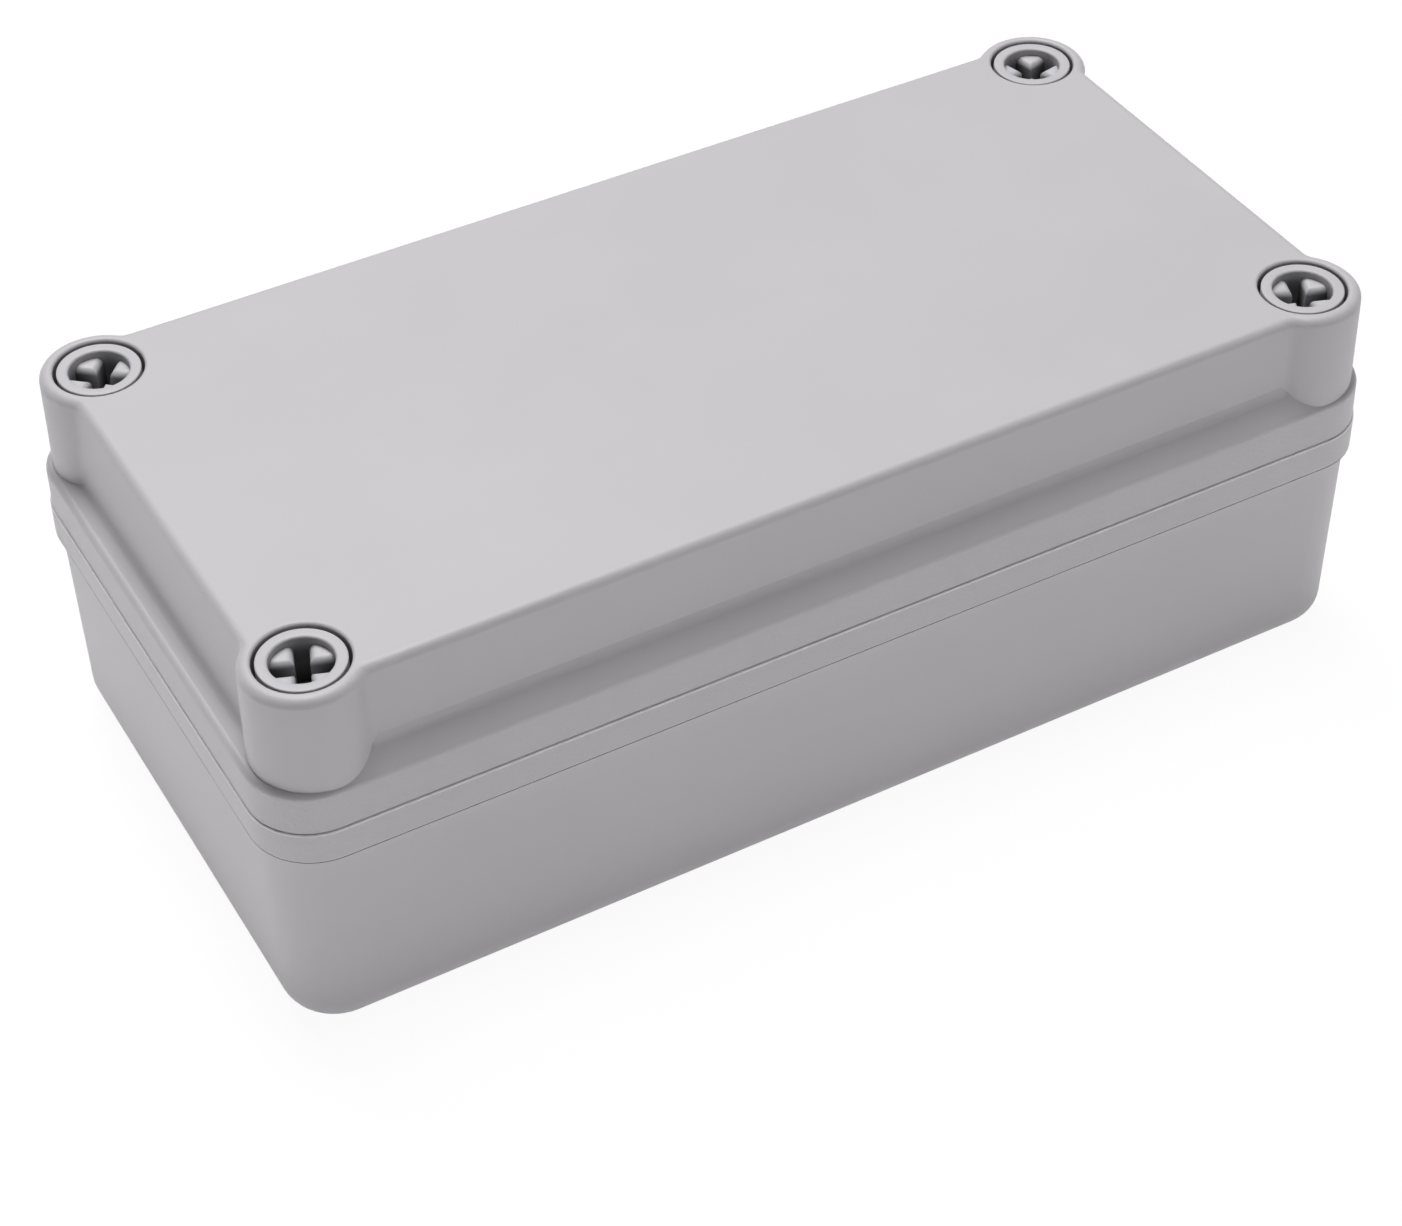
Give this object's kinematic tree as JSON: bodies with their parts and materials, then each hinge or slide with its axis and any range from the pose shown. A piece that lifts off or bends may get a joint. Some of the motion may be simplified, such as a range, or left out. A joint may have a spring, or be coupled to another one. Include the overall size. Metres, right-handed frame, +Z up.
{
  "type": "plastic project box",
  "caption": "Rectangular plastic enclosure with a flanged base, a stepped lid with round corner bosses, a cord seal and long corner screws, for housing electronics.",
  "frame": {"origin": "middle of the underside of the base, on the surface that the box stands on", "axes": "+X along the length, +Y along the width to the back, +Z up through the lid"},
  "size_m": [0.16, 0.08, 0.055],
  "materials": {
    "box_plastic": "light grey, satin",
    "screw_plastic": "light grey, satin",
    "seal_rubber": "matt black"
  },
  "bodies": {
    "base": {"base_shell": "box_plastic"},
    "lid": {"lid": "box_plastic", "lid_seal": "seal_rubber"},
    "screw_front_left": {"lid_screw_front_left": "screw_plastic"},
    "screw_front_right": {"lid_screw_front_right": "screw_plastic"},
    "screw_rear_left": {"lid_screw_rear_left": "screw_plastic"},
    "screw_rear_right": {"lid_screw_rear_right": "screw_plastic"}
  },
  "joints": [
    {"name": "lid_lift", "type": "slide", "parent": "base", "child": "lid", "axis": [0, 0, 1], "range_m": [0, 0.05]},
    {"name": "screw_out_front_left", "type": "slide", "parent": "lid", "child": "screw_front_left", "axis": [0, 0, 1], "range_m": [0, 0.045]},
    {"name": "screw_out_front_right", "type": "slide", "parent": "lid", "child": "screw_front_right", "axis": [0, 0, 1], "range_m": [0, 0.045]},
    {"name": "screw_out_rear_left", "type": "slide", "parent": "lid", "child": "screw_rear_left", "axis": [0, 0, 1], "range_m": [0, 0.045]},
    {"name": "screw_out_rear_right", "type": "slide", "parent": "lid", "child": "screw_rear_right", "axis": [0, 0, 1], "range_m": [0, 0.045]}
  ]
}
